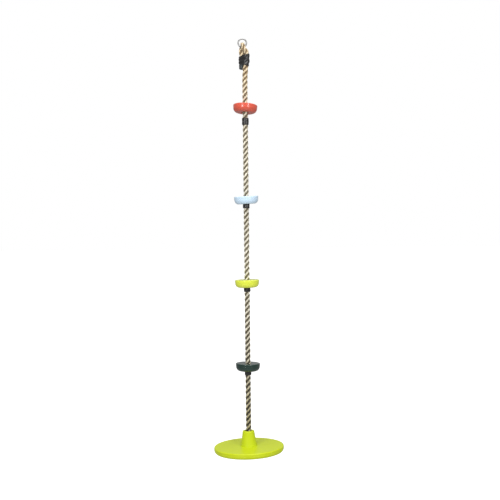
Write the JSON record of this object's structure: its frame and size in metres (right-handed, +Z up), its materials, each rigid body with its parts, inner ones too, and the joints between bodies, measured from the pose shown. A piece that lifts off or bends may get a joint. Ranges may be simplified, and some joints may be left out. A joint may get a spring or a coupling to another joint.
{
  "type": "climbing rope swing",
  "caption": "Climbing rope with coloured foot discs and a round lime disc seat, hung from a steel ring.",
  "frame": {"origin": "inner top of the hanging ring, where a hook bears", "axes": "+Z up along the hanging rope, ring in the XZ plane, -Y towards the viewer"},
  "size_m": [0.3003, 0.3, 1.7821],
  "materials": {
    "galvanised_steel": "satin galvanised",
    "laid_rope": "matt, three-strand laid rope",
    "black_sleeve": "satin shrink sleeve",
    "nylon": "matt",
    "seat_lime": "satin, lightly grained",
    "disc_red": "glossy",
    "disc_blue": "glossy",
    "disc_lime": "glossy",
    "disc_dark_green": "glossy"
  },
  "bodies": {
    "ring": {"hanging_ring": "galvanised_steel"},
    "rope_top": {"rope_eye": "laid_rope", "top_sleeve": "black_sleeve", "tail_cap": "black_sleeve"},
    "span_1": {"rope_span_1": "laid_rope", "stop_clamp_1": "galvanised_steel", "stop_sleeve_1": "black_sleeve"},
    "span_2": {"rope_span_2": "laid_rope", "stop_clamp_2": "galvanised_steel", "stop_sleeve_2": "black_sleeve"},
    "span_3": {"rope_span_3": "laid_rope", "stop_clamp_3": "galvanised_steel", "stop_sleeve_3": "black_sleeve"},
    "span_4": {"rope_span_4": "laid_rope", "stop_clamp_4": "galvanised_steel", "stop_sleeve_4": "black_sleeve"},
    "span_5": {"rope_span_5": "laid_rope", "end_knot": "laid_rope", "rope_end_cap": "black_sleeve"},
    "washer_1": {"disc_washer_1": "nylon"},
    "disc_1": {"foot_disc_red": "disc_red"},
    "washer_2": {"disc_washer_2": "nylon"},
    "disc_2": {"foot_disc_blue": "disc_blue"},
    "washer_3": {"disc_washer_3": "nylon"},
    "disc_3": {"foot_disc_lime": "disc_lime"},
    "washer_4": {"disc_washer_4": "nylon"},
    "disc_4": {"foot_disc_dark_green": "disc_dark_green"},
    "seat_hanger": {"seat_washer": "galvanised_steel"},
    "seat": {"disc_seat": "seat_lime"}
  },
  "joints": [
    {"name": "rope_swing", "type": "hinge", "parent": "ring", "child": "rope_top", "pos_m": [0, 0, -0.0326], "axis": [1, 0, 0], "range_deg": [-50, 50]},
    {"name": "bend_1", "type": "hinge", "parent": "rope_top", "child": "span_1", "pos_m": [0.0097, 0, -0.155], "axis": [0, 1, 0], "range_deg": [-30, 30], "deforming": ["rope_span_1"]},
    {"name": "bend_2", "type": "hinge", "parent": "span_1", "child": "span_2", "pos_m": [0.0097, 0, -0.4045], "axis": [1, 0, 0], "range_deg": [-30, 30], "deforming": ["rope_span_2"]},
    {"name": "bend_3", "type": "hinge", "parent": "span_2", "child": "span_3", "pos_m": [0.0097, 0, -0.7631], "axis": [0, 1, 0], "range_deg": [-30, 30], "deforming": ["rope_span_3"]},
    {"name": "bend_4", "type": "hinge", "parent": "span_3", "child": "span_4", "pos_m": [0.0097, 0, -1.1217], "axis": [1, 0, 0], "range_deg": [-30, 30], "deforming": ["rope_span_4"]},
    {"name": "bend_5", "type": "hinge", "parent": "span_4", "child": "span_5", "pos_m": [0.0097, 0, -1.4803], "axis": [0, 1, 0], "range_deg": [-30, 30], "deforming": ["rope_span_5"]},
    {"name": "disc_slide_1", "type": "slide", "parent": "span_1", "child": "washer_1", "axis": [0, 0, 1], "range_m": [-0.018, 0.075]},
    {"name": "disc_spin_1", "type": "hinge", "parent": "washer_1", "child": "disc_1", "pos_m": [0.0097, 0, -0.29162], "axis": [0.0692, 0.1219, 0.9901], "continuous": true},
    {"name": "disc_slide_2", "type": "slide", "parent": "span_2", "child": "washer_2", "axis": [0, 0, 1], "range_m": [0, 0.23]},
    {"name": "disc_spin_2", "type": "hinge", "parent": "washer_2", "child": "disc_2", "pos_m": [0.0097, 0, -0.6836], "axis": [-0.0471, 0, 0.9989], "continuous": true},
    {"name": "disc_slide_3", "type": "slide", "parent": "span_3", "child": "washer_3", "axis": [0, 0, 1], "range_m": [0, 0.23]},
    {"name": "disc_spin_3", "type": "hinge", "parent": "washer_3", "child": "disc_3", "pos_m": [0.0097, 0, -1.04264], "axis": [-0.0175, 0, 0.9998], "continuous": true},
    {"name": "disc_slide_4", "type": "slide", "parent": "span_4", "child": "washer_4", "axis": [0, 0, 1], "range_m": [0, 0.23]},
    {"name": "disc_spin_4", "type": "hinge", "parent": "washer_4", "child": "disc_4", "pos_m": [0.0097, 0, -1.40124], "axis": [0.0175, 0, 0.9998], "continuous": true},
    {"name": "seat_tilt", "type": "hinge", "parent": "span_5", "child": "seat_hanger", "pos_m": [0.0097, 0, -1.7191], "axis": [1, 0, 0], "range_deg": [-4, 4]},
    {"name": "seat_spin", "type": "hinge", "parent": "seat_hanger", "child": "seat", "pos_m": [0.0097, 0, -1.7191], "axis": [-0.0279, 0, 0.9996], "continuous": true}
  ]
}
